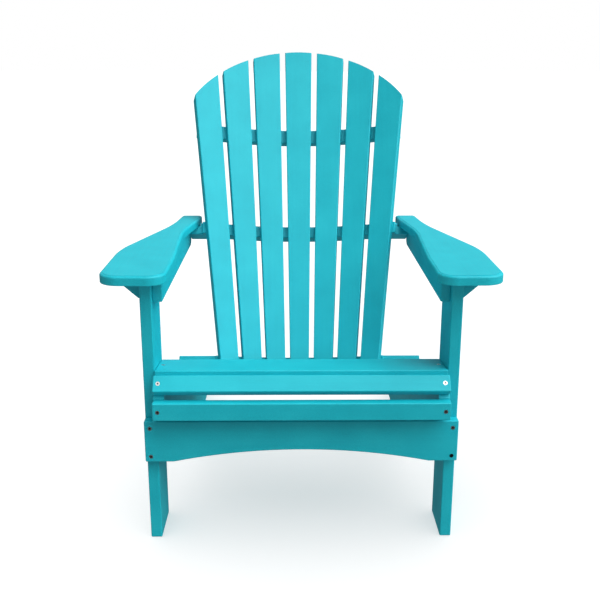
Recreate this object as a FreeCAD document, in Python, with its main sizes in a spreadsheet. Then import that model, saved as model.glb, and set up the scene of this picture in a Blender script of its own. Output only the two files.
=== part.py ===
"""Fixed (non-folding) adirondack chair in solid recycled-plastic boards.

Frame: millimetres, +Z up, the sitter faces -Y, +X is the right-hand side seen from the front.
The origin is on the floor, under the middle of the chair's outer box.
Side views are drawn in chair coordinates: "depth" counts backwards from the front of the legs.
"""
import FreeCAD, Part
import math
import os
import re
import Sketcher

Vector = FreeCAD.Vector

doc = FreeCAD.newDocument("adirondack_chair")

# ---------------------------------------------------------------- driving dimensions
SIZES = [
    ("board", 21.5, "thickness of the frame, seat and back boards"),
    ("edge_round", 2.5, "rounded edge on every board"),
    ("leg_front", -361.5, "Y of the front of the legs, which centres the chair on the origin"),
    ("leg_span", 623.0, "front legs, outer face to outer face"),
    ("leg_board", 23.0, "thickness of the front legs"),
    ("leg_depth", 103.0, "front leg, front to back"),
    ("arm_under", 553.0, "height of the underside of the arms"),
    ("arm_board", 19.0, "thickness of the arm boards"),
    ("arm_round", 6.0, "rounded top edge of the arms"),
    ("apron_low", 182.5, "height of the apron's ends above the floor"),
    ("apron_height", 87.0, "apron, top to bottom at its ends"),
    ("apron_foot", 57.0, "straight part of the apron's lower edge at each end"),
    ("apron_rise", 25.5, "rise of the arch in the apron's lower edge"),
    ("slat_length", 576.4, "seat slats, end to end"),
    ("slat_gap", 8.0, "gap between the rear seat slats"),
    ("nose_slat_front", -57.0, "depth of the upright front slat's face"),
    ("nose_slat_low", 286.0, "height of the upright front slat's lower edge"),
    ("nose_slat_width", 36.0, "upright front slat, bottom to top"),
    ("brow_slat_width", 34.4, "steep second slat, front to back"),
    ("brow_slat_tilt", 50.0, "nose-down tilt of the second slat, degrees"),
    ("brow_slat_gap", 18.2, "second slat's rear edge ahead of the third slat's front edge"),
    ("brow_slat_rise", -2.2, "second slat's rear edge above the third slat's front edge"),
    ("front_slat_width", 102.0, "wide third slat, front to back"),
    ("front_slat_tilt", 7.4, "backward fall of the third slat, degrees"),
    ("front_slat_depth", -7.0, "depth of the third slat's front edge"),
    ("front_slat_top", 371.1, "height of the third slat's front edge"),
    ("front_slat_gap", 8.0, "gap behind the third slat"),
    ("seat_slat_width", 76.0, "the three rear slats, front to back"),
    ("seat_fall", 20.6, "backward fall of the seat behind the third slat, degrees"),
    ("stringer_nose", 5.0, "reach of the stringer below the upright front slat"),
    ("stringer_rear", 780.0, "depth of the rear foot's back end"),
    ("stringer_heel", 45.0, "rounding of the rear foot's upper corner"),
    ("stringer_knee", 225.0, "height of the stringer's lower front corner"),
    ("stringer_sole_lift", 4.0, "how much sooner the stringer's lower edge meets the level sole"),
    ("back_lean", 27.5, "lean of the back from upright, degrees"),
    ("back_depth", 385.0, "depth of the middle slat's face at back_height"),
    ("back_height", 280.0, "height from which the back's lengths are counted"),
    ("fan_turn", 6.95, "turn from one back slat to the next, degrees"),
    ("fan_pitch", 57.5, "spacing of the back slats at back_height"),
    ("fan_spread", 0.0322, "growth of that spacing per millimetre of back"),
    ("back_slat_width", 46.6, "width of a back slat at back_height"),
    ("back_slat_taper", 0.0288, "growth of that width per millimetre of back"),
    ("back_slat_tail", 62.0, "length of the back slats below back_height"),
    ("back_slat_reach", 800.0, "length of the back slats above back_height, before the crown is cut"),
    ("crown_centre", 469.0, "centre of the crown's arc, above back_height along the back"),
    ("crown_radius", 306.5, "radius of the crown's arc"),
    ("rail_clearance", 0.3, "gap between the back slats and the rails' facets"),
    ("seat_rail_top", -19.5, "top of the seat rail, along the back"),
    ("seat_rail_height", 34.0, "seat rail, along the back"),
    ("seat_rail_front", 14.0, "front of the seat rail's ends, forward of the middle slat's face"),
    ("seat_rail_rear", -66.0, "rear of the seat rail"),
    ("arm_rail_top", 311.0, "top of the arm rail, along the back"),
    ("arm_rail_height", 28.5, "thickness of the arm rail"),
    ("arm_rail_depth", 40.0, "arm rail, front to back"),
    ("arm_rail_notch", 243.5, "distance from the middle plane to the notches under the arms"),
    ("arm_rail_front", 14.0, "front of the arm rail's ends"),
    ("top_rail_top", 568.5, "top of the upper rail, along the back"),
    ("top_rail_height", 35.0, "upper rail, along the back"),
    ("top_rail_depth", 22.0, "upper rail, front to back"),
    ("side_rail_board", 18.5, "thickness of the rails under the arms"),
    ("side_rail_low", 504.5, "height of the side rails' lower edge"),
    ("side_rail_front", 15.0, "depth of the side rails' front end"),
    ("side_rail_rear", 540.0, "depth of the side rails' rear end"),
    ("bracket_reach", 53.0, "arm bracket, out from the leg"),
    ("bracket_drop", 48.0, "arm bracket, down from the arm"),
    ("bracket_toe", 9.0, "blunt ends of the arm bracket"),
    ("screw_shank", 2.2, "radius of the screws"),
    ("screw_head", 4.2, "radius of the screws' countersunk heads"),
    ("screw_sink", 2.4, "depth of the screws' countersunk heads"),
    ("bolt_shank", 4.0, "radius of the leg bolts"),
    ("bolt_head", 9.0, "radius of the leg bolts' domed heads"),
    ("bolt_dome", 4.5, "height of the domed heads"),
    ("washer_radius", 9.0, "radius of the washers"),
    ("washer_board", 1.6, "thickness of the washers"),
    ("nut_height", 6.5, "height of the nuts"),
    ("nut_radius", 7.4, "radius of the nuts over their corners"),
]

sheet = doc.addObject("Spreadsheet::Sheet", "Sizes")
for row, (alias, value, note) in enumerate(SIZES, start=1):
    sheet.set("A%d" % row, note)
    sheet.set("B%d" % row, str(value))
    sheet.setAlias("B%d" % row, alias)
doc.recompute()
ALIASES = {alias for alias, _, _ in SIZES}


def bound(expression):
    """The expression with each size's name pointing at its cell."""
    return re.sub(r"[a-z][a-z_]*", lambda word: "Sizes." + word[0] if word[0] in ALIASES else word[0],
                  expression)


def size(expression):
    """The expression's value now."""
    return float(sheet.evalExpression(bound(expression)))


# ---------------------------------------------------------------- boards
def axes(origin, x_axis, y_axis):
    """Placement with its local X and Y along the given directions."""
    z_axis = x_axis.cross(y_axis)
    return FreeCAD.Placement(origin, FreeCAD.Rotation(x_axis, y_axis, z_axis, "XYZ"))


def chair_point(x, depth, height):
    """A point given by its depth behind the front of the legs."""
    return Vector(x, size("leg_front") + depth, height)


RIGHT, REAR, UP = Vector(1, 0, 0), Vector(0, 1, 0), Vector(0, 0, 1)


def side_view(x):
    """Sketch plane of a board seen from the side: local X backwards, local Y up, padded towards +X."""
    return axes(chair_point(x, 0, 0), REAR, UP)


def front_view(depth):
    """Sketch plane of a board seen from the front: padded towards the front."""
    return axes(chair_point(0, depth, 0), RIGHT, UP)


def plan_view(height):
    """Sketch plane of a board seen from above: padded upwards."""
    return axes(chair_point(0, 0, height), RIGHT, REAR)


def arc_middle(start, end, radius):
    """Middle point of the arc from start to end that bulges to the left of its chord."""
    chord = end - start
    half = chord.Length / 2
    rise = radius - math.sqrt(radius * radius - half * half)
    left = Vector(-chord.y, chord.x, 0).normalize()
    return start + chord * 0.5 + left * rise


def draw_outline(sketch, corners):
    """Close an outline through corners held by the sheet. The edge that leaves a corner is straight, or
    an arc of the given radius that bulges inwards for a corner (x, y, "arch", radius)."""
    spots = [Vector(size(corner[0]), size(corner[1]), 0) for corner in corners]
    ends = []
    for index, corner in enumerate(corners):
        start, end = spots[index], spots[(index + 1) % len(spots)]
        if len(corner) == 4:
            sketch.addGeometry(Part.Arc(start, arc_middle(start, end, size(corner[3])), end))
        else:
            sketch.addGeometry(Part.LineSegment(start, end))
        flipped = sketch.getPoint(index, 1).distanceToPoint(start) > 1e-4
        ends.append((2, 1) if flipped else (1, 2))
    rules, texts = [], []
    for index, corner in enumerate(corners):
        before = (index - 1) % len(corners)
        first = ends[index][0]
        rules.append(Sketcher.Constraint("Coincident", before, ends[before][1], index, first))
        texts.append(None)
        for kind, text, value in (("DistanceX", corner[0], spots[index].x),
                                  ("DistanceY", corner[1], spots[index].y)):
            rules.append(Sketcher.Constraint(kind, -1, 1, index, first, value))
            texts.append(text)
        if len(corner) == 4:
            rules.append(Sketcher.Constraint("Radius", index, size(corner[3])))
            texts.append(corner[3])
    sketch.addConstraint(rules)
    for number, text in enumerate(texts):
        if text:
            sketch.setExpression("Constraints[%d]" % number, bound(text))


def fillet(body, suffix, radius, wanted):
    """Round the edges of the body's tip that are wanted."""
    base = body.Tip
    soft = body.newObject("PartDesign::Fillet", body.Name + suffix)
    chosen = ["Edge%d" % (index + 1) for index, edge in enumerate(base.Shape.Edges) if wanted(edge)]
    soft.Base = (base, chosen)
    soft.setExpression("Radius", bound(radius))
    doc.recompute()


def board(name, corners, thickness, placement, rounded="edge_round"):
    """A board as a body: its outline padded to its thickness, corners (x, y, radius) rounded in the
    outline, and then all of its edges rounded."""
    body = doc.addObject("PartDesign::Body", name + "_board")
    sketch = body.newObject("Sketcher::SketchObject", name + "_outline")
    plane = [feature for feature in body.Origin.OriginFeatures if feature.Role == "XY_Plane"][0]
    sketch.AttachmentSupport = [(plane, "")]
    sketch.MapMode = "FlatFace"
    draw_outline(sketch, corners)
    pad = body.newObject("PartDesign::Pad", name + "_pad")
    pad.Profile = sketch
    pad.setExpression("Length", bound(thickness))
    doc.recompute()
    for number, corner in enumerate(corners):
        if len(corner) == 3:
            spot = Vector(size(corner[0]), size(corner[1]), size(thickness) / 2)
            fillet(body, "_corner_%d" % number, corner[2],
                   lambda edge: edge.CenterOfMass.distanceToPoint(spot) < 0.01)
    if rounded:
        fillet(body, "_round", rounded, lambda edge: True)
    body.Placement = placement
    doc.recompute()
    return body


# ---------------------------------------------------------------- fasteners
drills = {}


def turned(profile, seat, inward):
    """Solid of revolution: profile pairs (radius, distance) run along inward from the seat."""
    points = [Vector(radius, 0, distance) for radius, distance in profile]
    face = Part.Face(Part.makePolygon(points + [points[0]]))
    solid = face.revolve(Vector(0, 0, 0), UP, 360)
    solid.Placement = FreeCAD.Placement(seat, FreeCAD.Rotation(UP, inward))
    return solid


def fasteners(name, shapes, holes):
    """A group of separate solids in one node, and the holes that they need."""
    group = doc.addObject("Part::Feature", name)
    group.Shape = Part.makeCompound(shapes)
    drills[name] = Part.makeCompound(holes) if holes else None
    return group


def wood_screws(name, spots):
    """Countersunk screws with a hexagonal socket. Each spot is (seat on the surface, inward, length)."""
    shank, head, sink = size("screw_shank"), size("screw_head"), size("screw_sink")
    socket, socket_depth, tip, slack = head * 0.45, sink * 0.8, 3.0, 0.05
    shapes, holes = [], []
    for seat, inward, length in spots:
        screw = turned([(0, 0), (head, 0), (shank, sink), (shank, length - tip), (0, length)], seat, inward)
        recess = Part.Face(Part.makePolygon(hexagon(socket))).extrude(UP * socket_depth)
        recess.Placement = screw.Placement
        shapes.append(screw.cut(recess))
        holes.append(turned([(0, -5), (head + slack, -5), (head + slack, 0), (shank + slack, sink),
                             (shank + slack, length + slack), (0, length + slack)], seat, inward))
    return fasteners(name, shapes, holes)


def drilled(name, blank, groups):
    """The finished board: the blank with the holes of the fastener groups that pass through it."""
    holes = doc.addObject("Part::Feature", name + "_holes")
    holes.Shape = Part.makeCompound([drills[group] for group in groups])
    finished = doc.addObject("Part::Cut", name)
    finished.Base = blank
    finished.Tool = holes
    return finished


def mirrored(spots):
    """The spots and their mirror images across the chair's middle plane."""
    flip = [(Vector(-seat.x, seat.y, seat.z), Vector(-inward.x, inward.y, inward.z), length)
            for seat, inward, length in spots]
    return spots + flip


# ---------------------------------------------------------------- seat line, in depth and height
BOARD = size("board")
LEG_OUTER = size("leg_span") / 2
LEG_INNER = LEG_OUTER - size("leg_board")


def along(angle):
    """Depth and height of one step backwards on a slope that falls by angle degrees."""
    return Vector(0, math.cos(math.radians(angle)), -math.sin(math.radians(angle)))


front_slat_start = Vector(0, size("front_slat_depth"), size("front_slat_top"))
front_slat_end = front_slat_start + along(size("front_slat_tilt")) * size("front_slat_width")
brow_slat_end = front_slat_start + Vector(0, -size("brow_slat_gap"), size("brow_slat_rise"))
brow_slat_start = brow_slat_end - along(-size("brow_slat_tilt")) * size("brow_slat_width")
seat_start = front_slat_end + along(size("seat_fall")) * size("front_slat_gap")


def under(point, fall):
    """The point on a slat's underside below the given point on its top."""
    slope = along(fall)
    return point - slope.cross(Vector(-1, 0, 0)) * BOARD


def slope_height(point, fall, depth):
    """Height of the sloping line through point, at the given depth."""
    return point.z - math.tan(math.radians(fall)) * (depth - point.y)


nose_back = size("nose_slat_front") + BOARD
brow_under = under(brow_slat_start, -size("brow_slat_tilt"))
front_under = under(front_slat_start, size("front_slat_tilt"))
seat_under = under(seat_start, size("seat_fall"))


def crossing(first, first_fall, second, second_fall):
    """Depth and height where two sloping lines meet."""
    slope_one, slope_two = -math.tan(math.radians(first_fall)), -math.tan(math.radians(second_fall))
    depth = (second.z - first.z + slope_one * first.y - slope_two * second.y) / (slope_one - slope_two)
    return depth, first.z + slope_one * (depth - first.y)


# ---------------------------------------------------------------- front legs and apron
LEG_FASTENERS = ["apron_screws", "leg_bolts", "side_rail_screws", "bracket_screws"]


def make_legs():
    for side, x in (("left", -LEG_OUTER), ("right", LEG_INNER)):
        corners = [("0", "0"), ("leg_depth", "0"), ("leg_depth", "arm_under"), ("0", "arm_under")]
        blank = board("front_leg_" + side, corners, "leg_board", side_view(x))
        yield "front_leg_" + side, blank, LEG_FASTENERS


def make_apron():
    arch_end = "leg_span / 2 - apron_foot"
    arch_radius = "((leg_span / 2 - apron_foot)^2 + apron_rise^2) / (2 * apron_rise)"
    top = "apron_low + apron_height"
    corners = [("-leg_span / 2", "apron_low"), ("-(%s)" % arch_end, "apron_low", "arch", arch_radius),
               (arch_end, "apron_low"), ("leg_span / 2", "apron_low"),
               ("leg_span / 2", top), ("-leg_span / 2", top)]
    yield "front_apron", board("front_apron", corners, "board", front_view(0)), ["apron_screws"]


# ---------------------------------------------------------------- side stringers with the rear feet
def make_stringers():
    brow_rise, front_fall = -size("brow_slat_tilt"), size("front_slat_tilt")
    brow_depth, brow_height = crossing(brow_under, brow_rise, front_under, front_fall)
    bend_depth, bend_height = crossing(front_under, front_fall, seat_under, size("seat_fall"))
    nose_height = slope_height(brow_under, brow_rise, nose_back)
    fall = "tan(seat_fall * 1deg)"
    rear_top = "%f - %s * (stringer_rear - %f)" % (seat_under.z, fall, seat_under.y)
    sole = "leg_depth + (stringer_knee - stringer_sole_lift) / %s" % fall
    corners = [(str(nose_back), "nose_slat_low - stringer_nose"),
               ("0", "nose_slat_low - stringer_nose"),
               ("0", "stringer_knee"),
               ("leg_depth", "stringer_knee"),
               (sole, "0"),
               ("stringer_rear", "0"),
               ("stringer_rear", rear_top, "stringer_heel"),
               (str(bend_depth), str(bend_height)),
               (str(brow_depth), str(brow_height)),
               (str(nose_back), str(nose_height))]
    for side, x in (("left", -LEG_INNER), ("right", LEG_INNER - BOARD)):
        name = "side_stringer_" + side
        blank = board(name, corners, "board", side_view(x), rounded=None)
        yield name, blank, ["leg_bolts", "seat_screws", "seat_rail_screws"]


# ---------------------------------------------------------------- seat slats
def make_slat(name, start, fall, width):
    """A slat whose top begins at start and runs backwards, falling by fall degrees."""
    half = "slat_length / 2"
    corners = [("-" + half, "0"), (half, "0"), (half, width), ("-" + half, width)]
    foot = under(start, fall)
    placement = axes(chair_point(0, foot.y, foot.z), RIGHT, along(fall))
    yield name, board(name, corners, "board", placement), ["seat_screws"]


def make_seat():
    yield from make_slat("seat_slat_1", Vector(0, size("nose_slat_front"), size("nose_slat_low")),
                         -90, "nose_slat_width")
    yield from make_slat("seat_slat_2", brow_slat_start, -size("brow_slat_tilt"), "brow_slat_width")
    yield from make_slat("seat_slat_3", front_slat_start, size("front_slat_tilt"), "front_slat_width")
    for number in range(3):
        start = seat_start + along(size("seat_fall")) * (number * size("seat_slat_width + slat_gap"))
        yield from make_slat("seat_slat_%d" % (number + 4), start, size("seat_fall"), "seat_slat_width")


# ---------------------------------------------------------------- the leaning back
LEAN = math.radians(size("back_lean"))
BACK_UP = Vector(0, math.sin(LEAN), math.cos(LEAN))
BACK_FORWARD = Vector(0, -math.cos(LEAN), math.sin(LEAN))
BACK_ORIGIN = chair_point(0, size("back_depth"), size("back_height"))
TURN = math.radians(size("fan_turn"))
SLAT_NUMBERS = range(-3, 4)
TOP_RAIL_END = 0.3


def fan_radius(length):
    """Radius of the ring on which the slats' faces stand, at a length along the back."""
    return (size("fan_pitch") + size("fan_spread") * length) / (2 * math.sin(TURN / 2))


def back_point(x, length, forward):
    """A point in the back's own directions."""
    return BACK_ORIGIN + RIGHT * x + BACK_UP * length + BACK_FORWARD * forward


def slat_axes(number):
    """Origin, width direction and length direction of one back slat, on its front face."""
    turn = number * TURN
    radius = fan_radius(0)
    origin = back_point(radius * math.sin(turn), 0, radius * (1 - math.cos(turn)))
    growth = fan_radius(1) - radius
    run = BACK_UP + BACK_FORWARD * (growth * (1 - math.cos(turn))) + RIGHT * (growth * math.sin(turn))
    across = RIGHT * math.cos(turn) + BACK_FORWARD * math.sin(turn)
    drift = run.dot(across)
    straight = run - across * drift
    return origin, across, straight, drift


def make_crown_trim():
    """Everything outside the round crown of the back, to cut off the slats' upper ends."""
    block = doc.addObject("Part::Box", "crown_block")
    block.setExpression("Length", bound("crown_radius * 2.4"))
    block.setExpression("Width", bound("crown_radius * 1.4"))
    block.setExpression("Height", bound("crown_radius"))
    corner = back_point(-size("crown_radius * 1.2"), size("crown_centre"), -size("crown_radius / 2"))
    block.Placement = axes(corner, RIGHT, BACK_UP)
    disc = doc.addObject("Part::Cylinder", "crown_disc")
    disc.setExpression("Radius", bound("crown_radius"))
    disc.setExpression("Height", bound("crown_radius * 1.2"))
    disc.Placement = axes(back_point(0, size("crown_centre"), -size("crown_radius * 0.6")), RIGHT, BACK_UP)
    trim = doc.addObject("Part::Cut", "crown_trim")
    trim.Base = block
    trim.Tool = disc
    doc.recompute()
    return trim


def make_back_slats():
    trim = make_crown_trim()
    for number in SLAT_NUMBERS:
        name = "back_slat_%d" % (number + 4)
        origin, across, straight, drift = slat_axes(number)
        stretch = straight.Length
        straight = straight * (1 / stretch)
        corners = []
        for length, sides in (("-back_slat_tail", (-1, 1)), ("back_slat_reach", (1, -1))):
            for side in sides:
                half = "(back_slat_width + back_slat_taper * (%s)) / 2 * (%d)" % (length, side)
                corners.append(("%s + %f * (%s)" % (half, drift, length), "%f * (%s)" % (stretch, length)))
        facing = across.cross(straight)
        placement = axes(origin - facing * BOARD, across, straight)
        body = board(name, corners, "board", placement)
        crowned = doc.addObject("Part::Cut", name + "_crowned")
        crowned.Base = body
        crowned.Tool = trim
        yield name, crowned, ["seat_back_screws", "arm_back_screws", "top_back_screws"]


def facets(middle, depth, first, last, end_share=0.5):
    """Corners of the flats that the slats rest on, from slat number first to last, at a length
    along the back. Each flat is square to its own slat. The outer flats end at a share of a slat's
    turn beyond the slat's middle."""
    radius = fan_radius(middle)
    distance = radius + BOARD + size("rail_clearance") + depth
    step = 1 if last > first else -1
    places = [(first - end_share * step, end_share)]
    places += [(first + (index + 0.5) * step, 0.5) for index in range(abs(last - first))]
    places.append((last + end_share * step, end_share))
    points = []
    for place, share in places:
        turn, reach = place * TURN, distance / math.cos(share * TURN)
        points.append(("%.4f" % (reach * math.sin(turn)), "%.4f" % (radius - reach * math.cos(turn))))
    return points


def make_rail(name, corners, top, height):
    """A rail square to the back: its outline is drawn across the back, seen along it."""
    placement = axes(back_point(0, size(top) - size(height), 0), RIGHT, BACK_FORWARD * -1)
    turned_corners = [(x, "-(%s)" % forward) for x, forward in corners]
    return board(name, turned_corners, height, placement)


def make_rails():
    seat_middle = size("seat_rail_top - seat_rail_height / 2")
    seat_end = "slat_length / 2"
    corners = facets(seat_middle, 0, -3, 3)
    corners = ([("-" + seat_end, "seat_rail_front"), (corners[0][0], "seat_rail_front")] + corners
               + [(corners[-1][0], "seat_rail_front"), (seat_end, "seat_rail_front"),
                  (seat_end, "seat_rail_rear"), ("-" + seat_end, "seat_rail_rear")])
    blank = make_rail("seat_back_rail", without_repeats(corners), "seat_rail_top", "seat_rail_height")
    yield "seat_back_rail", blank, ["seat_back_screws", "seat_rail_screws"]

    arm_middle = size("arm_rail_top - arm_rail_height / 2")
    front = facets(arm_middle, 0, -3, 3)
    rear = facets(arm_middle, size("arm_rail_depth"), 2, -2)
    end = "leg_span / 2 - leg_board - side_rail_board"
    corners = ([("-(%s)" % end, "arm_rail_front"), (front[0][0], "arm_rail_front")] + front
               + [(front[-1][0], "arm_rail_front"), (end, "arm_rail_front"), (end, rear[0][1])] + rear
               + [("-(%s)" % end, rear[-1][1])])
    blank = make_rail("arm_back_rail", without_repeats(corners), "arm_rail_top", "arm_rail_height")
    level = blank
    for side, start in (("left", "-leg_span / 2"), ("right", "arm_rail_notch")):
        notch = doc.addObject("Part::Box", "arm_notch_" + side)
        notch.setExpression("Length", bound("leg_span / 2 - arm_rail_notch"))
        notch.setExpression("Width", bound("leg_depth * 2"))
        notch.setExpression("Height", bound("board"))
        notch.Placement = axes(chair_point(size(start), size("back_depth"), size("arm_under")), RIGHT, REAR)
        level = notched(level, notch)
    yield "arm_back_rail", level, ["arm_back_screws", "arm_rail_screws"]

    top_middle = size("top_rail_top - top_rail_height / 2")
    corners = (facets(top_middle, 0, -3, 3, TOP_RAIL_END)
               + facets(top_middle, size("top_rail_depth"), 3, -3, TOP_RAIL_END))
    blank = make_rail("top_back_rail", corners, "top_rail_top", "top_rail_height")
    yield "top_back_rail", blank, ["top_back_screws"]


def without_repeats(corners):
    """The outline without corners that repeat the one before."""
    kept = []
    for corner in corners:
        if not kept or (size(corner[0]), size(corner[1])) != (size(kept[-1][0]), size(kept[-1][1])):
            kept.append(corner)
    return kept


# ---------------------------------------------------------------- arms, side rails and brackets
# Right arm in plan: distance from the middle plane, depth, and the radius that rounds the corner.
ARM_PLAN = [("244", "570", "7"), ("246", "530"), ("269", "372", "400"), ("255.5", "110"),
            ("255", "-50", "36"), ("382", "-46", "40"), ("382", "182", "300"), ("304", "455", "500"),
            ("294", "570", "8")]


def mirror_outline(corners):
    """The outline across the middle plane, walked the other way round."""
    return [("-(%s)" % corner[0],) + corner[1:] for corner in reversed(corners)]


def make_arms():
    for side, outline in (("right", ARM_PLAN), ("left", mirror_outline(ARM_PLAN))):
        name = "armrest_" + side
        blank = board(name, outline, "arm_board", plan_view(size("arm_under")), rounded=None)
        fillet(blank, "_round", "arm_round", lambda edge: edge.BoundBox.ZMin > size("arm_board") - 0.01)
        yield name, blank, ["arm_screws", "bracket_screws"]


def make_side_rails():
    corners = [("side_rail_front", "side_rail_low"),
               ("side_rail_rear", "side_rail_low", "side_rail_board"),
               ("side_rail_rear", "arm_under"), ("side_rail_front", "arm_under")]
    for side, x in (("left", -LEG_INNER), ("right", LEG_INNER - size("side_rail_board"))):
        name = "arm_side_rail_" + side
        blank = board(name, corners, "side_rail_board", side_view(x), rounded="edge_round / 2")
        yield name, blank, ["side_rail_screws", "arm_screws", "arm_rail_screws"]


def make_brackets():
    inner, reach, drop = "leg_span / 2", "leg_span / 2 + bracket_reach", "arm_under - bracket_drop"
    corners = [(inner, drop), ("%s + bracket_toe" % inner, drop), (reach, "arm_under - bracket_toe"),
               (reach, "arm_under"), (inner, "arm_under")]
    depth = size("leg_depth / 2 + board / 2")
    for side, outline in (("right", corners), ("left", mirror_outline(corners))):
        name = "arm_bracket_" + side
        blank = board(name, outline, "board", front_view(depth), rounded="edge_round / 2")
        yield name, blank, ["bracket_screws"]


# ---------------------------------------------------------------- fastener places
STRINGER_MIDDLE = LEG_INNER - BOARD / 2
SEAT_SCREW, SEAT_RAIL_SCREW, APRON_SCREW, ARM_SCREW = 45, 62, 50, 62
SIDE_RAIL_SCREW, ARM_RAIL_SCREW, BRACKET_SCREW, BRACKET_ARM_SCREW = 34, 50, 42, 28
ARM_BACK_SCREW, TOP_BACK_SCREW, SLAT_GRIP = 54, 36, 13
APRON_SCREW_RISES = (11.5, 72)
SEAT_RAIL_SCREW_PLACES = (-12, -48)
SIDE_RAIL_SCREW_DEPTHS = (24, 74)
ARM_SCREW_DEPTHS = (120, 300, 480)
ARM_RAIL_SCREW_PLACES = (6, -8)
BRACKET_SCREW_PLACE = (24, 24)
BRACKET_ARM_SCREW_PLACE = (36, 16)
LEG_BOLT_PLACES = ((28, 274), (70, 246))


def slat_screw_spots():
    """One screw through the middle of each seat slat into each stringer."""
    nose = Vector(0, size("nose_slat_front"), size("nose_slat_low + nose_slat_width / 2"))
    rows = [(nose, REAR)]
    tops = [(brow_slat_start, -size("brow_slat_tilt"), size("brow_slat_width")),
            (front_slat_start, size("front_slat_tilt"), size("front_slat_width"))]
    for number in range(3):
        start = seat_start + along(size("seat_fall")) * (number * size("seat_slat_width + slat_gap"))
        tops.append((start, size("seat_fall"), size("seat_slat_width")))
    for start, fall, width in tops:
        rows.append((start + along(fall) * (width / 2), along(fall).cross(RIGHT)))
    return mirrored([(chair_point(STRINGER_MIDDLE, middle.y, middle.z), inward, SEAT_SCREW)
                     for middle, inward in rows])


def rail_screw_spots(top, height, depth, length):
    """Screws from behind a back rail into each slat."""
    middle = size(top) - size(height) / 2
    radius = fan_radius(middle)
    reach = radius + BOARD + size("rail_clearance") + depth
    spots = []
    for number in SLAT_NUMBERS:
        turn = number * TURN
        outward = RIGHT * math.sin(turn) - BACK_FORWARD * math.cos(turn)
        spots.append((back_point(0, middle, radius) + outward * reach, outward * -1, length))
    return spots


def seat_back_screw_spots():
    """The same screws for the seat rail, started from its straight rear face."""
    spots = []
    for seat, inward, _ in rail_screw_spots("seat_rail_top", "seat_rail_height", 0, 0):
        forward = (seat - BACK_ORIGIN).dot(BACK_FORWARD)
        slide = (forward - size("seat_rail_rear")) / inward.dot(BACK_FORWARD)
        spots.append((seat - inward * slide, inward, slide + SLAT_GRIP))
    return spots


def make_fasteners():
    leg_middle = (LEG_OUTER + LEG_INNER) / 2
    wood_screws("apron_screws", mirrored(
        [(chair_point(leg_middle, -BOARD, size("apron_low") + rise), REAR, APRON_SCREW)
         for rise in APRON_SCREW_RISES]))
    wood_screws("seat_screws", slat_screw_spots())
    wood_screws("seat_rail_screws", mirrored(
        [(back_point(STRINGER_MIDDLE, size("seat_rail_top"), forward), BACK_UP * -1, SEAT_RAIL_SCREW)
         for forward in SEAT_RAIL_SCREW_PLACES]))
    wood_screws("seat_back_screws", seat_back_screw_spots())
    wood_screws("arm_back_screws", rail_screw_spots("arm_rail_top", "arm_rail_height",
                                                    size("arm_rail_depth"), ARM_BACK_SCREW))
    wood_screws("top_back_screws", rail_screw_spots("top_rail_top", "top_rail_height",
                                                    size("top_rail_depth"), TOP_BACK_SCREW))
    rail_middle = size("(side_rail_low + arm_under) / 2")
    wood_screws("side_rail_screws", mirrored(
        [(chair_point(LEG_OUTER, depth, rail_middle), RIGHT * -1, SIDE_RAIL_SCREW)
         for depth in SIDE_RAIL_SCREW_DEPTHS]))
    rail_x = LEG_INNER - size("side_rail_board / 2")
    wood_screws("arm_screws", mirrored(
        [(chair_point(rail_x, depth, size("side_rail_low")), UP, ARM_SCREW) for depth in ARM_SCREW_DEPTHS]))
    tab = back_point(LEG_INNER, size("arm_rail_top - arm_rail_height / 2"), 0)
    wood_screws("arm_rail_screws", mirrored(
        [(tab + BACK_FORWARD * forward, RIGHT * -1, ARM_RAIL_SCREW) for forward in ARM_RAIL_SCREW_PLACES]))
    wood_screws("bracket_screws", mirrored(
        [bracket_spot(BRACKET_SCREW_PLACE, RIGHT * -1, BRACKET_SCREW),
         bracket_spot(BRACKET_ARM_SCREW_PLACE, UP, BRACKET_ARM_SCREW)]))
    make_leg_bolts()


def bracket_spot(place, inward, length):
    """A screw in a bracket, by its distance out from the leg and down from the arm."""
    out, down = place
    return chair_point(LEG_OUTER + out, size("leg_depth / 2"), size("arm_under") - down), inward, length


def hexagon(radius):
    """Closed corners of a hexagon about the origin."""
    turns = [math.radians(60 * corner) for corner in range(7)]
    return [Vector(radius * math.cos(turn), radius * math.sin(turn), 0) for turn in turns]


def make_leg_bolts():
    """Two bolts through each front leg and its stringer, with a washer and nut inside."""
    shank, head, dome = size("bolt_shank"), size("bolt_head"), size("bolt_dome")
    washer, washer_board, nut_height = size("washer_radius"), size("washer_board"), size("nut_height")
    slack, grip, thread_end = 0.1, size("leg_board") + BOARD, 3
    end = grip + washer_board + nut_height + thread_end
    places = [(chair_point(LEG_OUTER, depth, height), RIGHT * -1, end) for depth, height in LEG_BOLT_PLACES]
    bolts, washers, nuts, holes = [], [], [], []
    for seat, inward, _ in mirrored(places):
        profile = [(0, -dome), (head * 0.55, -dome * 0.8), (head, 0), (shank, 0), (shank, end), (0, end)]
        bolts.append(turned(profile, seat, inward))
        holes.append(turned([(0, -1), (shank + slack, -1), (shank + slack, end), (0, end)], seat, inward))
        ring = [(shank + slack, grip), (washer, grip), (washer, grip + washer_board),
                (shank + slack, grip + washer_board)]
        washers.append(turned(ring, seat, inward))
        nut = Part.Face(Part.makePolygon(hexagon(size("nut_radius")))).extrude(UP * nut_height)
        nut = nut.cut(Part.makeCylinder(shank + slack, nut_height))
        nut.Placement = FreeCAD.Placement(seat + inward * (grip + washer_board), FreeCAD.Rotation(UP, inward))
        nuts.append(nut)
    fasteners("leg_bolts", bolts, holes)
    fasteners("leg_washers", washers, None)
    fasteners("leg_nuts", nuts, None)


# ---------------------------------------------------------------- the whole chair
def notched(blank, cutter):
    """The blank with another board's space cut out of it."""
    cut = doc.addObject("Part::Cut", blank.Name + "_notched")
    cut.Base = blank
    cut.Tool = cutter
    return cut


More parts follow.
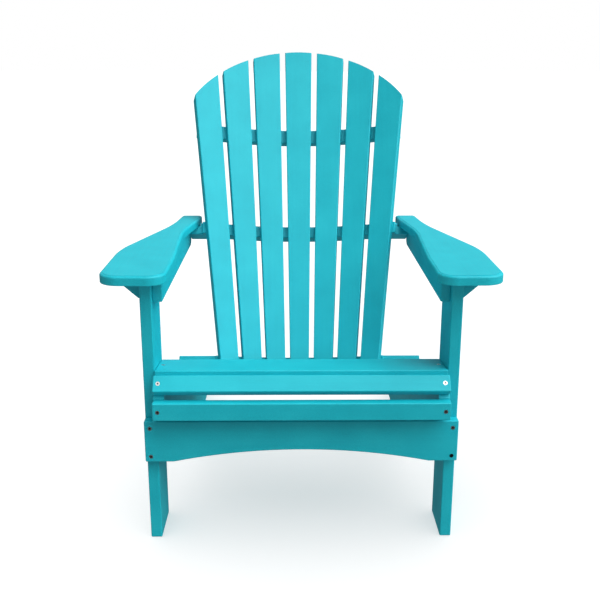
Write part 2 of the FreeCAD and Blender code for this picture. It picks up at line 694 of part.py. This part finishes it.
def build():
    make_fasteners()
    sub_parts = {name: doc.getObject(name) for name in
                 ("apron_screws", "seat_screws", "seat_rail_screws", "seat_back_screws",
                  "arm_back_screws", "top_back_screws", "side_rail_screws", "arm_screws",
                  "arm_rail_screws", "bracket_screws", "leg_bolts", "leg_washers", "leg_nuts")}
    makers = (make_legs, make_apron, make_seat, make_back_slats, make_rails, make_arms,
              make_side_rails, make_brackets)
    rail_blank = None
    for maker in makers:
        for name, blank, groups in maker():
            if name == "seat_back_rail":
                rail_blank = blank
            sub_parts[name] = drilled(name, blank, groups)
    for name, blank, groups in make_stringers():
        sub_parts[name] = drilled(name, notched(blank, rail_blank), groups)
    return sub_parts


def check(sub_parts):
    """Stop unless every object recomputed and every sub-part is a sound solid."""
    for item in doc.Objects:
        if "Invalid" in item.State or "Error" in item.State:
            raise RuntimeError("%s failed: %s" % (item.Name, item.State))
    for name, item in sub_parts.items():
        shape = item.Shape
        if shape.isNull() or not shape.isValid() or not shape.Solids:
            raise RuntimeError("%s has no sound shape" % name)


def save(sub_parts):
    os.makedirs("parts", exist_ok=True)
    box = FreeCAD.BoundBox()
    for name, item in sub_parts.items():
        item.Label = name
        item.Shape.exportStep("parts/%s.step" % name)
        box.add(item.Shape.BoundBox)
    print("%d nodes; X %.1f..%.1f  Y %.1f..%.1f  Z %.1f..%.1f" % (
        len(sub_parts), box.XMin, box.XMax, box.YMin, box.YMax, box.ZMin, box.ZMax))


parts = build()
doc.recompute()
check(parts)
save(parts)
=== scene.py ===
"""Fixed adirondack chair in turquoise plastic boards with stainless screws, in a plain studio."""
import math

import bmesh
import bpy
from mathutils import Matrix, Vector


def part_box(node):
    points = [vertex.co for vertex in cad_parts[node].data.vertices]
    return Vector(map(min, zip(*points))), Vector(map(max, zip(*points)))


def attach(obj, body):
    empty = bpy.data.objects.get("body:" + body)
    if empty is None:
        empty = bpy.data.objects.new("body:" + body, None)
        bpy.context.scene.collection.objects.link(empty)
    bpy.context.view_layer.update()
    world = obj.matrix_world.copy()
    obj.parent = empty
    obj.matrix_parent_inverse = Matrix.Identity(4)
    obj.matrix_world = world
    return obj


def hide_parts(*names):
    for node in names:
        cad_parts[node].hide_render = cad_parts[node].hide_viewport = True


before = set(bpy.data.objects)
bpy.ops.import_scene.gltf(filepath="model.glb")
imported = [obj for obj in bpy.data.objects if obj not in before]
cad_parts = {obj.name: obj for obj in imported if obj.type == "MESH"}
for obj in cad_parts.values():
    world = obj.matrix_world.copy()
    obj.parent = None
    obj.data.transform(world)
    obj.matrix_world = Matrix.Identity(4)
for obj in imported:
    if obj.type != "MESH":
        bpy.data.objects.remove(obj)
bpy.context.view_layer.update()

MM = 0.001

# ---------------------------------------------------------------- materials
LUMBER_COLOUR = (0.006, 0.495, 0.592, 1.0)
LUMBER_DEEP = (0.003, 0.420, 0.515, 1.0)
LUMBER_PALE = (0.016, 0.555, 0.645, 1.0)
DEEP_TONE, PALE_TONE = 0.36, 0.64
LUMBER_IOR = 1.37
LUMBER_BUMP, LUMBER_BUMP_DEPTH = 0.35, 0.0004

# How much each layer of the grain adds to the tone, and to the height of the bumps.
SPECKLE_TONE, STREAK_TONE, CLOUD_TONE = 0.62, 0.12, 0.26
SPECKLE_HEIGHT, STREAK_HEIGHT = 0.8, 0.2
STREAK_STRETCH = (0.03, 1.0, 1.0)
SPECKLE_LOW, SPECKLE_HIGH = 0.35, 0.65

STEEL_DARK, STEEL_LIGHT = (0.46, 0.46, 0.45, 1.0), (0.74, 0.74, 0.72, 1.0)
# Near-black steel for the screws' hexagonal sockets: painted shade standing in for the shadow inside the
# recess, not the steel's own colour.
SOCKET_SHADE_DARK, SOCKET_SHADE_LIGHT = (0.02, 0.02, 0.02, 1.0), (0.05, 0.05, 0.05, 1.0)
STEEL_GRAIN_TONE, STEEL_SMUDGE_TONE = 0.6, 0.4
STEEL_SMUDGE_SCALE = 260.0
STEEL_SMOOTHEST, STEEL_ROUGHEST = 0.22, 0.42
STEEL_BUMP, STEEL_BUMP_DEPTH = 0.1, 0.0001

QUARTER_TURN = math.radians(90)
BACK_LEAN = math.radians(27.5)
SEAT_FALL = math.radians(20.6)


def new_group(name, inputs, outputs):
    """An empty shader node group with named sockets: (name, kind, default)."""
    group = bpy.data.node_groups.new(name, "ShaderNodeTree")
    for label, kind, default in inputs:
        socket = group.interface.new_socket(label, in_out="INPUT", socket_type=kind)
        if default is not None:
            socket.default_value = default
    for label, kind in outputs:
        group.interface.new_socket(label, in_out="OUTPUT", socket_type=kind)
    return group, group.nodes.new("NodeGroupInput"), group.nodes.new("NodeGroupOutput")


def add(tree, kind, **settings):
    """A node with its properties set; keys that name a socket set the socket's value."""
    node = tree.nodes.new(kind)
    for key, value in settings.items():
        if hasattr(node, key):
            setattr(node, key, value)
        else:
            node.inputs[key.replace("_", " ")].default_value = value
    return node


def math_node(tree, operation, first, second):
    """A Math node; each operand is a number or an output socket."""
    node = tree.nodes.new("ShaderNodeMath")
    node.operation = operation
    for socket, value in zip(node.inputs, (first, second)):
        if isinstance(value, (int, float)):
            socket.default_value = value
        else:
            tree.links.new(value, socket)
    return node.outputs[0]


def make_moulded_grain():
    """Fine speckle, long faint streaks and broad clouding of boards extruded from coloured plastic."""
    group, given, out = new_group(
        "moulded_grain",
        [("Vector", "NodeSocketVector", None), ("Speckle Scale", "NodeSocketFloat", 900.0),
         ("Streak Scale", "NodeSocketFloat", 160.0), ("Cloud Scale", "NodeSocketFloat", 14.0),
         ("Roughness Low", "NodeSocketFloat", 0.42), ("Roughness High", "NodeSocketFloat", 0.58)],
        [("Tone", "NodeSocketFloat"), ("Roughness", "NodeSocketFloat"), ("Height", "NodeSocketFloat")])
    links = group.links
    speckle = add(group, "ShaderNodeTexNoise", Detail=3.0, Roughness=0.65)
    links.new(given.outputs["Vector"], speckle.inputs["Vector"])
    links.new(given.outputs["Speckle Scale"], speckle.inputs["Scale"])

    stretched = add(group, "ShaderNodeMapping", Scale=STREAK_STRETCH)
    links.new(given.outputs["Vector"], stretched.inputs["Vector"])
    streak = add(group, "ShaderNodeTexNoise", Detail=4.0, Roughness=0.6)
    links.new(stretched.outputs["Vector"], streak.inputs["Vector"])
    links.new(given.outputs["Streak Scale"], streak.inputs["Scale"])

    cloud = add(group, "ShaderNodeTexNoise", Detail=2.0, Roughness=0.5)
    links.new(given.outputs["Vector"], cloud.inputs["Vector"])
    links.new(given.outputs["Cloud Scale"], cloud.inputs["Scale"])

    fine = math_node(group, "MULTIPLY", speckle.outputs["Fac"], SPECKLE_TONE)
    lines = math_node(group, "MULTIPLY", streak.outputs["Fac"], STREAK_TONE)
    broad = math_node(group, "MULTIPLY", cloud.outputs["Fac"], CLOUD_TONE)
    tone = math_node(group, "ADD", math_node(group, "ADD", fine, lines), broad)
    links.new(tone, out.inputs["Tone"])

    rough = add(group, "ShaderNodeMapRange")
    rough.inputs["From Min"].default_value = SPECKLE_LOW
    rough.inputs["From Max"].default_value = SPECKLE_HIGH
    links.new(speckle.outputs["Fac"], rough.inputs["Value"])
    links.new(given.outputs["Roughness Low"], rough.inputs["To Min"])
    links.new(given.outputs["Roughness High"], rough.inputs["To Max"])
    links.new(rough.outputs["Result"], out.inputs["Roughness"])
    pits = math_node(group, "MULTIPLY", speckle.outputs["Fac"], SPECKLE_HEIGHT)
    ridges = math_node(group, "MULTIPLY", streak.outputs["Fac"], STREAK_HEIGHT)
    links.new(math_node(group, "ADD", pits, ridges), out.inputs["Height"])
    return group


def make_turned_steel():
    """Fine grain and broad smudges of a plain steel fastener."""
    group, given, out = new_group(
        "turned_steel",
        [("Vector", "NodeSocketVector", None), ("Grain Scale", "NodeSocketFloat", 1400.0)],
        [("Tone", "NodeSocketFloat"), ("Roughness", "NodeSocketFloat"), ("Height", "NodeSocketFloat")])
    links = group.links
    grain = add(group, "ShaderNodeTexNoise", Detail=4.0, Roughness=0.7)
    links.new(given.outputs["Vector"], grain.inputs["Vector"])
    links.new(given.outputs["Grain Scale"], grain.inputs["Scale"])
    smudge = add(group, "ShaderNodeTexNoise", Scale=STEEL_SMUDGE_SCALE, Detail=2.0)
    links.new(given.outputs["Vector"], smudge.inputs["Vector"])
    fine = math_node(group, "MULTIPLY", grain.outputs["Fac"], STEEL_GRAIN_TONE)
    broad = math_node(group, "MULTIPLY", smudge.outputs["Fac"], STEEL_SMUDGE_TONE)
    links.new(math_node(group, "ADD", fine, broad), out.inputs["Tone"])
    rough = add(group, "ShaderNodeMapRange")
    rough.inputs["To Min"].default_value = STEEL_SMOOTHEST
    rough.inputs["To Max"].default_value = STEEL_ROUGHEST
    links.new(smudge.outputs["Fac"], rough.inputs["Value"])
    links.new(rough.outputs["Result"], out.inputs["Roughness"])
    links.new(grain.outputs["Fac"], out.inputs["Height"])
    return group


moulded_grain = make_moulded_grain()
turned_steel = make_turned_steel()


def new_material(name):
    """A material with its node tree and its Principled shader."""
    material = bpy.data.materials.new(name)
    material.use_nodes = True
    tree = material.node_tree
    return material, tree, tree.nodes["Principled BSDF"]


def place_group(tree, group, vector, **values):
    """A node group laid over the given coordinates; the keys name its sockets."""
    node = tree.nodes.new("ShaderNodeGroup")
    node.node_tree = group
    tree.links.new(vector, node.inputs["Vector"])
    for key, value in values.items():
        node.inputs[key.replace("_", " ")].default_value = value
    return node


def bump(tree, height, shader, strength, distance):
    """Turn a height into small bumps on a shader."""
    node = add(tree, "ShaderNodeBump", Strength=strength, Distance=distance)
    tree.links.new(height, node.inputs["Height"])
    tree.links.new(node.outputs["Normal"], shader.inputs["Normal"])


def make_lumber(name, turn):
    """Coloured board whose streaks run along local X after turning by the Euler angles."""
    material, tree, shader = new_material(name)
    place = add(tree, "ShaderNodeTexCoord")
    along = add(tree, "ShaderNodeMapping", Rotation=turn)
    tree.links.new(place.outputs["Object"], along.inputs["Vector"])
    grain = place_group(tree, moulded_grain, along.outputs["Vector"])
    ramp = add(tree, "ShaderNodeValToRGB")
    first, last = ramp.color_ramp.elements
    first.position, first.color = DEEP_TONE, LUMBER_DEEP
    last.position, last.color = PALE_TONE, LUMBER_PALE
    middle = ramp.color_ramp.elements.new(0.5)
    middle.color = LUMBER_COLOUR
    tree.links.new(grain.outputs["Tone"], ramp.inputs["Fac"])
    tree.links.new(ramp.outputs["Color"], shader.inputs["Base Color"])
    tree.links.new(grain.outputs["Roughness"], shader.inputs["Roughness"])
    bump(tree, grain.outputs["Height"], shader, LUMBER_BUMP, LUMBER_BUMP_DEPTH)
    shader.inputs["IOR"].default_value = LUMBER_IOR
    return material


def make_steel(name, dark, light):
    """Plain steel between a dark and a light shade."""
    material, tree, shader = new_material(name)
    place = add(tree, "ShaderNodeTexCoord")
    finish = place_group(tree, turned_steel, place.outputs["Object"])
    ramp = add(tree, "ShaderNodeValToRGB")
    ramp.color_ramp.elements[0].color = dark
    ramp.color_ramp.elements[1].color = light
    tree.links.new(finish.outputs["Tone"], ramp.inputs["Fac"])
    tree.links.new(ramp.outputs["Color"], shader.inputs["Base Color"])
    tree.links.new(finish.outputs["Roughness"], shader.inputs["Roughness"])
    bump(tree, finish.outputs["Height"], shader, STEEL_BUMP, STEEL_BUMP_DEPTH)
    shader.inputs["Metallic"].default_value = 1.0
    return material


lumber_across = make_lumber("lumber_across", (0.0, 0.0, 0.0))
lumber_upright = make_lumber("lumber_upright", (0.0, QUARTER_TURN, 0.0))
lumber_level = make_lumber("lumber_level", (0.0, 0.0, -QUARTER_TURN))
lumber_back = make_lumber("lumber_back", (BACK_LEAN, QUARTER_TURN, 0.0))
lumber_slope = make_lumber("lumber_slope", (SEAT_FALL, 0.0, -QUARTER_TURN))
steel = make_steel("stainless", STEEL_DARK, STEEL_LIGHT)
# The socket material is painted shade: near-black steel in place of the shadow inside the screw-head
# recesses.
socket_painted_shade = make_steel("steel_socket_painted_shade", SOCKET_SHADE_DARK, SOCKET_SHADE_LIGHT)

# ---------------------------------------------------------------- pieces
SMOOTH_ANGLE = math.radians(35)
MERGE_DISTANCE = 0.004 * MM
FLAT_ANGLE = math.radians(0.4)
FULL_FACE_WEIGHT = 100


def finish_piece(piece, nodes):
    """Put a finished piece on the chair in place of its CAD nodes."""
    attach(piece, "root")
    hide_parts(*nodes)


def piece_from(name, shape, material):
    """An object from a finished bmesh, smooth across its rounded edges and crisp elsewhere."""
    mesh = bpy.data.meshes.new(name)
    shape.normal_update()
    for face in shape.faces:
        face.smooth = True
    for edge in shape.edges:
        edge.smooth = not (edge.is_manifold and edge.calc_face_angle() > SMOOTH_ANGLE)
    shape.to_mesh(mesh)
    shape.free()
    mesh.materials.append(material)
    piece = bpy.data.objects.new(name, mesh)
    bpy.context.scene.collection.objects.link(piece)
    weigh = piece.modifiers.new("even_flats", "WEIGHTED_NORMAL")
    weigh.keep_sharp = True
    weigh.weight = FULL_FACE_WEIGHT
    return piece


def merged_copy(node):
    """A bmesh of a CAD node with its loose triangles joined into clean faces."""
    copy = bmesh.new()
    copy.from_mesh(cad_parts[node].data)
    bmesh.ops.remove_doubles(copy, verts=copy.verts, dist=MERGE_DISTANCE)
    bmesh.ops.dissolve_limit(copy, angle_limit=FLAT_ANGLE, verts=copy.verts, edges=copy.edges)
    return copy


def board_piece(node, material):
    """A board with the exact shape of its CAD node."""
    piece = piece_from(node + "_board", merged_copy(node), material)
    finish_piece(piece, [node])


# Each material with the boards whose length it follows.
BOARDS = [
    (lumber_across, ["front_apron", "seat_back_rail", "arm_back_rail", "top_back_rail",
                     "arm_bracket_left", "arm_bracket_right"]
     + ["seat_slat_%d" % number for number in range(1, 7)]),
    (lumber_upright, ["front_leg_left", "front_leg_right"]),
    (lumber_level, ["arm_side_rail_left", "arm_side_rail_right"]),
    (lumber_back, ["back_slat_%d" % number for number in range(1, 8)]),
    (lumber_slope, ["side_stringer_left", "side_stringer_right"]),
]
for material, nodes in BOARDS:
    for node in nodes:
        board_piece(node, material)

# ---------------------------------------------------------------- arms
LEG_FRONT = -361.5
# Right arm in plan, in millimetres: distance from the middle plane, depth behind the front faces of the
# legs, and radius of the corner.
ARM_CORNERS = [(244, 570, 7), (246, 530, 60), (269, 372, 400), (255.5, 110, 400), (255, -50, 36),
               (382, -46, 40), (382, 182, 300), (304, 455, 500), (294, 570, 8)]
ARM_INSET, ARM_STEP, ARM_ROUND = 5.6, 0.8, 4.6
SHOULDER_ROUND, UNDER_ROUND = 0.35, 1.0
SHOULDER_TURN = 0.5
LEVEL_TOLERANCE = 0.01
DEGREES_A_SEGMENT, FEWEST_SEGMENTS = 4, 4


def turn_at(before, corner, after):
    """How far an outline turns at a corner."""
    return (corner - before).angle(after - corner)


def arm_mesh(side):
    """An arm with rounded corners, a rounded rim and a low step round its flat top."""
    low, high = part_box("armrest_" + ("right" if side > 0 else "left"))
    spots = [Vector((side * x * MM, (LEG_FRONT + depth) * MM, low.z)) for x, depth, _ in ARM_CORNERS]
    arm = bmesh.new()
    corners = [arm.verts.new(spot) for spot in spots]
    arm.faces.new(corners)
    for index, corner in enumerate(corners):
        radius = ARM_CORNERS[index][2] * MM
        turn = turn_at(spots[index - 1], spots[index], spots[(index + 1) % len(spots)])
        bmesh.ops.bevel(arm, geom=[corner], offset=radius * math.tan(turn / 2), offset_type="OFFSET",
                        segments=max(FEWEST_SEGMENTS, int(math.degrees(turn) / DEGREES_A_SEGMENT)),
                        profile=0.5, affect="VERTICES", material=-1)
    bmesh.ops.recalc_face_normals(arm, faces=arm.faces)
    rim_height = high.z - low.z - ARM_STEP * MM
    raised = bmesh.ops.extrude_face_region(arm, geom=arm.faces[:])
    moved = [item for item in raised["geom"] if isinstance(item, bmesh.types.BMVert)]
    bmesh.ops.translate(arm, verts=moved, vec=(0, 0, rim_height))
    bmesh.ops.recalc_face_normals(arm, faces=arm.faces)
    top = max(arm.faces, key=lambda face: face.calc_center_median().z)
    rim = list(top.edges)
    bmesh.ops.inset_region(arm, faces=[top], thickness=ARM_INSET * MM, depth=0.0, use_even_offset=True)
    field = bmesh.ops.extrude_face_region(arm, geom=[top])
    lifted = [item for item in field["geom"] if isinstance(item, bmesh.types.BMVert)]
    bmesh.ops.translate(arm, verts=lifted, vec=(0, 0, ARM_STEP * MM))
    if top.is_valid:
        arm.faces.remove(top)
    bmesh.ops.bevel(arm, geom=[edge for edge in rim if edge.is_valid], offset=ARM_ROUND * MM,
                    offset_type="OFFSET", segments=6, profile=0.5, affect="EDGES", material=-1)
    near_top, near_bottom = high.z - LEVEL_TOLERANCE * MM, low.z + LEVEL_TOLERANCE * MM
    shoulder = [edge for edge in arm.edges if all(vert.co.z > near_top for vert in edge.verts)
                and len(edge.link_faces) == 2 and edge.calc_face_angle() > SHOULDER_TURN]
    bmesh.ops.bevel(arm, geom=shoulder, offset=SHOULDER_ROUND * MM, offset_type="OFFSET", segments=2,
                    profile=0.5, affect="EDGES", material=-1)
    under = [edge for edge in arm.edges if all(vert.co.z < near_bottom for vert in edge.verts)]
    bmesh.ops.bevel(arm, geom=under, offset=UNDER_ROUND * MM, offset_type="OFFSET", segments=3,
                    profile=0.5, affect="EDGES", material=-1)
    bmesh.ops.recalc_face_normals(arm, faces=arm.faces)
    return arm


for side, name in ((-1, "left"), (1, "right")):
    arm = piece_from("arm_board_" + name, arm_mesh(side), lumber_level)
    finish_piece(arm, ["armrest_" + name])

# ---------------------------------------------------------------- fasteners
FASTENERS = ["apron_screws", "seat_screws", "seat_rail_screws", "seat_back_screws", "arm_back_screws",
             "top_back_screws", "side_rail_screws", "arm_screws", "arm_rail_screws", "bracket_screws",
             "leg_bolts", "leg_washers", "leg_nuts"]
# A hexagonal face smaller than this is the floor of a screw's socket.
SOCKET_FLOOR = 9.6 * MM * MM


def paint_socket_shade(fastener):
    """Paint shade into the small hexagonal sockets in the screw heads: their floors and walls get
    near-black steel as painted shade for the shadow inside the recess.
    """
    fastener.data.materials.append(socket_painted_shade)
    sockets = bmesh.new()
    sockets.from_mesh(fastener.data)
    for face in sockets.faces:
        if len(face.verts) == 6 and face.calc_area() < SOCKET_FLOOR:
            face.material_index = 1
            for edge in face.edges:
                for wall in edge.link_faces:
                    wall.material_index = 1
    sockets.to_mesh(fastener.data)
    sockets.free()


for node in FASTENERS:
    fastener = piece_from(node + "_steel", merged_copy(node), steel)
    paint_socket_shade(fastener)
    finish_piece(fastener, [node])

# ---------------------------------------------------------------- studio
FLOOR_REACH = 40.0
FLOOR_ALBEDO, FLOOR_LIFT, FLOOR_GLOW, FLOOR_MIRRORED = 0.58, 0.53, 0.43, 0.06
BACKDROP_WHITE, WORLD_FILL = 1.0, 0.30
# Reflected sky: its strength near the horizon and above it, and the heights between which it changes.
SKY_LOW, SKY_HIGH = 0.05, 0.50
SKY_START, SKY_END = 0.04, 0.20
# Each sun: the direction towards it, its strength, and its spread in degrees.
KEY = ((0.47, -0.26, 0.83), 3.50, 70)
SIDE_FILL = ((1.0, -0.12, 0.05), 0.60, 50)
FLOOR_WASH = ((0.0, 0.0, 1.0), 2.6, 120)


def make_floor():
    """A flat white floor that shows soft grey shadows, but throws little light back at the chair."""
    bare = bmesh.new()
    bmesh.ops.create_grid(bare, x_segments=1, y_segments=1, size=FLOOR_REACH)
    mesh = bpy.data.meshes.new("studio_floor")
    bare.to_mesh(mesh)
    bare.free()
    floor = bpy.data.objects.new("studio_floor", mesh)
    bpy.context.scene.collection.objects.link(floor)
    material, tree, shader = new_material("studio_floor")
    shader.inputs["Base Color"].default_value = (FLOOR_ALBEDO, FLOOR_ALBEDO, FLOOR_ALBEDO, 1.0)
    shader.inputs["Roughness"].default_value = 1.0
    shader.inputs["Specular IOR Level"].default_value = 0.0
    shader.inputs["Emission Color"].default_value = (1.0, 1.0, 1.0, 1.0)
    shader.inputs["Emission Strength"].default_value = FLOOR_LIFT
    dim = add(tree, "ShaderNodeEmission")
    path = add(tree, "ShaderNodeLightPath")
    glow = add(tree, "ShaderNodeMapRange")
    glow.inputs["To Min"].default_value = FLOOR_GLOW
    glow.inputs["To Max"].default_value = FLOOR_MIRRORED
    tree.links.new(path.outputs["Is Glossy Ray"], glow.inputs["Value"])
    tree.links.new(glow.outputs["Result"], dim.inputs["Strength"])
    mix = add(tree, "ShaderNodeMixShader")
    tree.links.new(path.outputs["Is Camera Ray"], mix.inputs[0])
    tree.links.new(dim.outputs[0], mix.inputs[1])
    tree.links.new(shader.outputs[0], mix.inputs[2])
    tree.links.new(mix.outputs[0], tree.nodes["Material Output"].inputs["Surface"])
    mesh.materials.append(material)
    return floor


def make_backdrop_light():
    """White backdrop, an even fill, and reflections that are dark at the horizon and bright above it."""
    world = bpy.data.worlds.new("studio")
    world.use_nodes = True
    tree = world.node_tree
    white, fill, mirrored = [add(tree, "ShaderNodeBackground", Strength=strength)
                             for strength in (BACKDROP_WHITE, WORLD_FILL, 1.0)]
    for background in (white, fill, mirrored):
        background.inputs["Color"].default_value = (1.0, 1.0, 1.0, 1.0)
    place = add(tree, "ShaderNodeTexCoord")
    split = add(tree, "ShaderNodeSeparateXYZ")
    tree.links.new(place.outputs["Generated"], split.inputs[0])
    sky = add(tree, "ShaderNodeMapRange")
    for label, value in (("From Min", SKY_START), ("From Max", SKY_END),
                         ("To Min", SKY_LOW), ("To Max", SKY_HIGH)):
        sky.inputs[label].default_value = value
    tree.links.new(split.outputs["Z"], sky.inputs["Value"])
    tree.links.new(sky.outputs["Result"], mirrored.inputs["Strength"])
    path = add(tree, "ShaderNodeLightPath")
    below = fill.outputs[0]
    for ray, background in (("Is Glossy Ray", mirrored), ("Is Camera Ray", white)):
        mix = add(tree, "ShaderNodeMixShader")
        tree.links.new(path.outputs[ray], mix.inputs[0])
        tree.links.new(below, mix.inputs[1])
        tree.links.new(background.outputs[0], mix.inputs[2])
        below = mix.outputs[0]
    tree.links.new(below, tree.nodes["World Output"].inputs[0])
    bpy.context.scene.world = world


def make_sun(name, receivers, toward, strength, spread):
    """A very soft distant light from the given direction, falling only on the receivers."""
    light = bpy.data.lights.new(name, "SUN")
    light.energy = strength
    light.angle = math.radians(spread)
    lamp = bpy.data.objects.new(name, light)
    lamp.rotation_euler = Vector(toward).to_track_quat("Z", "Y").to_euler()
    bpy.context.scene.collection.objects.link(lamp)
    lamp.light_linking.receiver_collection = receivers


def group_of(name, members):
    """A collection for light linking, which isn't part of the scene's own tree."""
    group = bpy.data.collections.new(name)
    for member in members:
        group.objects.link(member)
    return group


chair_pieces = [item for item in bpy.context.scene.objects if item.type == "MESH"]
floor = make_floor()
make_backdrop_light()
lit_chair = group_of("lit_chair", chair_pieces)
make_sun("key", lit_chair, *KEY)
make_sun("side_fill", lit_chair, *SIDE_FILL)
make_sun("floor_wash", group_of("lit_floor", [floor]), *FLOOR_WASH)

# ---------------------------------------------------------------- camera
CAMERA_PLACE = (-22.0 * MM, -1960.8 * MM, 973.9 * MM)
CAMERA_PITCH, CAMERA_YAW, CAMERA_ROLL = math.radians(16.09), math.radians(0.67), math.radians(0.09)
CAMERA_SENSOR, CAMERA_LENS = 36.0, 52.03
CAMERA_NEAR, CAMERA_FAR = 0.05, 100.0

camera_data = bpy.data.cameras.new("camera")
camera_data.sensor_width = CAMERA_SENSOR
camera_data.lens = CAMERA_LENS
camera_data.clip_start, camera_data.clip_end = CAMERA_NEAR, CAMERA_FAR
camera = bpy.data.objects.new("camera", camera_data)
camera.matrix_world = (Matrix.Translation(CAMERA_PLACE) @ Matrix.Rotation(-CAMERA_YAW, 4, "Z")
                       @ Matrix.Rotation(QUARTER_TURN - CAMERA_PITCH, 4, "X")
                       @ Matrix.Rotation(CAMERA_ROLL, 4, "Z"))
bpy.context.scene.collection.objects.link(camera)
bpy.context.scene.camera = camera
bpy.context.scene.view_settings.view_transform = "Standard"
bpy.context.scene.view_settings.look = "None"

# ---------------------------------------------------------------- final update
bpy.context.view_layer.update()
